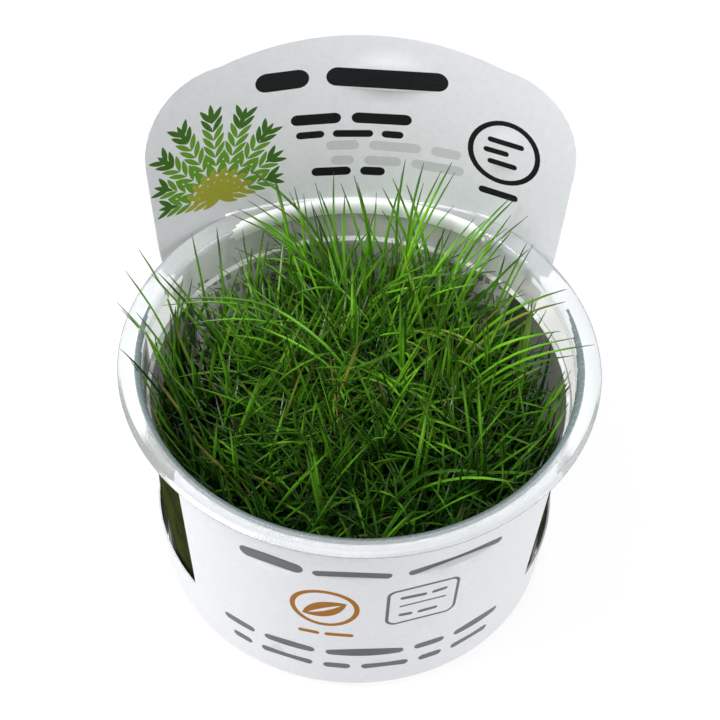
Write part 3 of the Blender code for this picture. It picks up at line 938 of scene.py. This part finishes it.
def grow(root, length, heading, lean, bend, sway):
    """A blade that leaves its root at a lean, in degrees, and bends over more towards its tip."""
    shares = (np.arange(BLADE_POINTS - 1) + 0.5) / (BLADE_POINTS - 1)
    tilt = np.radians(lean + bend * shares**1.6)
    turn = heading + sway * shares
    steps = np.stack([np.sin(tilt) * np.cos(turn), np.sin(tilt) * np.sin(turn), np.cos(tilt)], axis=1)
    return root + np.vstack([np.zeros(3), np.cumsum(steps * length / (BLADE_POINTS - 1), axis=0)])


def filler_lines(place, rng):
    """Random blades of the small plantlets round one place: some fan out as a bundle, the rest all ways."""
    found = []
    for _ in range(PLANTLETS):
        turn = rng.uniform(0, 2 * math.pi)
        out = PLANTLET_SPREAD * math.sqrt(rng.uniform())
        middle = place + np.array([out * math.cos(turn), out * math.sin(turn), 0])
        thin = thinning(middle)
        bundle = rng.uniform() < BUNDLE_SHARE
        heading = rng.uniform(0, 2 * math.pi)
        bend = rng.uniform(*BUNDLE_BENDS)
        for _ in range(round(BLADES_EACH * (1 - 0.65 * thin))):
            root = middle + np.array([*rng.normal(0, 1.0, 2), rng.uniform(-1.5, 0.0)])
            length = (canopy(middle) - GEL_TOP) * rng.uniform(*FILLER_LENGTHS) * (1 - 0.45 * thin)
            own_heading = heading + rng.normal(0, 0.45) if bundle else rng.uniform(0, 2 * math.pi)
            own_bend = bend + rng.normal(0, 12) if bundle else rng.uniform(*FREE_BENDS)
            lean = rng.uniform(*FILLER_LEANS)
            found.append(grow(root, length, own_heading, lean, own_bend, rng.normal(0, 0.35)))
    return found


def wall_stems(place, rng):
    """Short stems close to the wall, which fill what the windows show; none in the inner rings."""
    found = []
    if math.hypot(place[0], place[1]) < STEM_RINGS_FROM:
        return found
    bearing = math.atan2(place[1], place[0])
    for _ in range(WALL_STEMS):
        turn = bearing + rng.uniform(-0.19, 0.19)
        out = rng.uniform(*STEM_RADII)
        root = np.array([out * math.cos(turn), out * math.sin(turn), GEL_TOP - 1.0])
        length = rng.uniform(*STEM_LENGTHS) * (1 - 0.6 * thinning(root))
        heading = rng.uniform(0, 2 * math.pi)
        lean = rng.uniform(0, 12)
        found.append(grow(root, length, heading, lean, rng.uniform(5, 40), 0.2))
    return found


def stay_in_ring(lines):
    """Draw blades that reach too far out back towards the axis, more the further they reach."""
    radius = np.hypot(lines[..., 0], lines[..., 1])
    share = np.minimum(1.0, FILLER_LIMIT / np.maximum(radius, 1e-6)) ** 0.8
    lines[..., :2] *= share[..., None]
    return lines


def tube_mesh(name, lines, widths, facts):
    """One mesh of closed tapering tubes along many lines; facts are three numbers for each point.

    The small numbers added to each side give perfectly upright blades a side too.
    """
    lines = np.asarray(lines)
    count, rings, _ = lines.shape
    tangent = np.gradient(lines, axis=1)
    tangent /= np.linalg.norm(tangent, axis=2, keepdims=True)
    chord = lines[:, -1:] - lines[:, :1]
    side = np.cross(chord, [0.0, 0.0, 1.0]) + [0.013, 0.007, 0.0]
    side = side - (side * tangent).sum(2, keepdims=True) * tangent
    side /= np.linalg.norm(side, axis=2, keepdims=True)
    other = np.cross(tangent, side)
    angles = np.arange(BLADE_SIDES) * 2 * math.pi / BLADE_SIDES
    half = (widths / 2)[:, :, None, None]
    across = np.cos(angles)[:, None] * side[:, :, None]
    through = BLADE_FLATNESS * np.sin(angles)[:, None] * other[:, :, None]
    verts = lines[:, :, None] + half * (across + through)
    ring = np.arange(BLADE_SIDES)
    after = (ring + 1) % BLADE_SIDES
    starts = (np.arange(count)[:, None] * rings + np.arange(rings - 1)).ravel() * BLADE_SIDES
    here = starts[:, None] + ring
    beside = starts[:, None] + after
    quads = np.stack([here, beside, beside + BLADE_SIDES, here + BLADE_SIDES], axis=-1)
    first = np.arange(count) * rings * BLADE_SIDES
    feet = first[:, None] + ring[::-1]
    tips = first[:, None] + (rings - 1) * BLADE_SIDES + ring
    faces = quads.reshape(-1, 4).tolist() + feet.tolist() + tips.tolist()
    mesh = bpy.data.meshes.new(name)
    mesh.from_pydata((verts.reshape(-1, 3) * MM).tolist(), [], faces)
    attribute = mesh.attributes.new("blade", "FLOAT_VECTOR", "POINT")
    attribute.data.foreach_set("vector", np.repeat(facts.reshape(-1, 3), BLADE_SIDES, axis=0).ravel())
    shade(mesh, 60)
    return mesh


def blade_widths(widest):
    """Width along each blade: narrow at the foot, widest at a third, tapering to a fine tip."""
    share = np.linspace(0, 1, BLADE_POINTS)
    profile = np.interp(share, (0, 0.3, 0.75, 0.93, 1), (0.8, 1.0, 0.9, 0.62, 0.15))
    return widest[:, None] * profile


def followed_lines(name, rng):
    """The solid's own blades, and others beside each whose tips lie a little lower."""
    lines = []
    shares = np.linspace(0, 1, BLADE_POINTS)[:, None]
    for line in solid_blades(name):
        main = eased(smooth_line(line, BLADE_POINTS), 12)
        lines.append(main)
        for _ in range(COMPANIONS):
            aside = rng.normal(0, 1.0, 3) + shares * rng.normal(0, 2.6, 3)
            lines.append(main + aside - [0, 0, 1] * shares * rng.uniform(1, 6))
    return lines


def painted_light_by_height(height):
    """Painted shade by height: how much of its tone a blade keeps, none low in the cup and all at the top.
    """
    share = np.clip((height - SHADED_BELOW) / (LIT_ABOVE - SHADED_BELOW), 0, 1)
    return share * share * (3 - 2 * share)


def blade_facts(lines, place, rng):
    """For each point of each blade: its share of the length, its tone and how withered the blade is. The
    tone is the blade's own random tone with painted light and shade on it.
    """
    count = len(lines)
    share = np.broadcast_to(np.linspace(0, 1, BLADE_POINTS), (count, BLADE_POINTS))
    # Painted light and shade: the mean tone rises towards the back, and the tone fades low in the cup.
    tone_lit_to_back = MIDDLE_TONE + TONE_TO_BACK * place[1] / LOWER_BOTTOM_RADIUS
    tone = np.clip(rng.normal(tone_lit_to_back, 0.3, count), 0, 1)[:, None] * painted_light_by_height(lines[..., 2])
    withered = rng.choice(WITHERED, count, p=WITHERED_SHARES)[:, None] * np.ones(BLADE_POINTS)
    return np.stack([share, tone, withered], axis=-1)


def make_tufts():
    """One mesh of blades for each tuft: its solid's own blades, and finer ones between them."""
    rng = np.random.default_rng(SEED)
    finish = grass()
    for number, place in enumerate(tuft_places(), 1):
        tuft = f"tuft_{number:02d}"
        name = f"blades_{number:02d}"
        traced = eased(keep_inside(np.array(followed_lines(tuft, rng))), 8)
        fillers = np.array(filler_lines(place, rng) + wall_stems(place, rng))
        lines = np.concatenate([traced, eased(keep_inside(stay_in_ring(fillers)), 2)])
        count = len(lines)
        traced_widths = rng.uniform(*TRACED_WIDTHS, count)
        filler_widths = rng.uniform(*FILLER_WIDTHS, count)
        widest = np.where(np.arange(count) < len(traced), traced_widths, filler_widths)
        facts = blade_facts(lines, place, rng)
        blades = add_object(name, tube_mesh(name, lines, blade_widths(widest), facts), [finish])
        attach(blades, "root")
        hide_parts(tuft)


def make_floor():
    mesh = bpy.data.meshes.new("floor")
    half = FLOOR_HALF
    corners = [(-half, -half, 0), (half, -half, 0), (half, half, 0), (-half, half, 0)]
    mesh.from_pydata(corners, [], [(0, 1, 2, 3)])
    floor = add_object("floor", mesh, [floor_finish()])


def add_camera():
    """The camera, aimed just below the middle of the rim and turned by its roll."""
    data = bpy.data.cameras.new("camera")
    data.lens = LENS
    data.sensor_width = SENSOR
    data.sensor_fit = "HORIZONTAL"
    elevation = math.radians(CAMERA_ELEVATION)
    turn = Matrix.Rotation(math.radians(CAMERA_AZIMUTH), 3, "Z")
    back = turn @ Vector((0, -math.cos(elevation), math.sin(elevation)))
    right = turn @ Vector((1, 0, 0))
    rim = Vector((0, 0, RIM_HEIGHT))
    place = rim + CAMERA_DISTANCE * back
    aim = rim - AIM_BELOW_RIM * back.cross(right)
    back = (place - aim).normalized()
    up = back.cross(right)
    roll = math.radians(CAMERA_ROLL)
    right, up = math.cos(roll) * right + math.sin(roll) * up, math.cos(roll) * up - math.sin(roll) * right
    camera = bpy.data.objects.new("camera", data)
    camera.matrix_world = Matrix.Translation(place * MM) @ Matrix((right, up, back)).transposed().to_4x4()
    bpy.context.scene.collection.objects.link(camera)
    bpy.context.scene.camera = camera


def add_area(name, place, target, size, radiance):
    """A softbox at a place, facing a target, in metres, with the brightness of its face."""
    data = bpy.data.lights.new(name, "AREA")
    data.shape = "RECTANGLE"
    data.size, data.size_y = size
    data.energy = radiance * math.pi * size[0] * size[1]
    lamp = bpy.data.objects.new(name, data)
    lamp.location = place
    lamp.rotation_euler = (Vector(target) - Vector(place)).to_track_quat("-Z", "Y").to_euler()
    bpy.context.scene.collection.objects.link(lamp)


def add_lights():
    """A faint white sky, four softboxes and plain view colours."""
    world = bpy.data.worlds.new("studio")
    world.use_nodes = True
    sky = world.node_tree.nodes["Background"]
    sky.inputs["Color"].default_value = (0.97, 0.98, 1.0, 1.0)
    sky.inputs["Strength"].default_value = 0.2
    bpy.context.scene.world = world
    middle = (0, 0, 0.05)
    add_area("key", (-0.55, -0.1, 0.75), middle, (0.4, 0.4), 13.0)
    add_area("top", (-0.15, -0.1, 1.1), middle, (0.9, 0.9), 2.1)
    add_area("right", (0.9, -0.3, 0.6), middle, (0.5, 0.6), 4.2)
    add_area("back strip", (0.064, 0.8, 0.86), middle, (0.19, 0.17), 12.0)
    bpy.context.scene.view_settings.view_transform = "Standard"
    bpy.context.scene.view_settings.look = "None"


add_camera()
make_cup()
make_gel()
make_sleeve()
make_tufts()
make_floor()
add_lights()

bpy.context.view_layer.update()
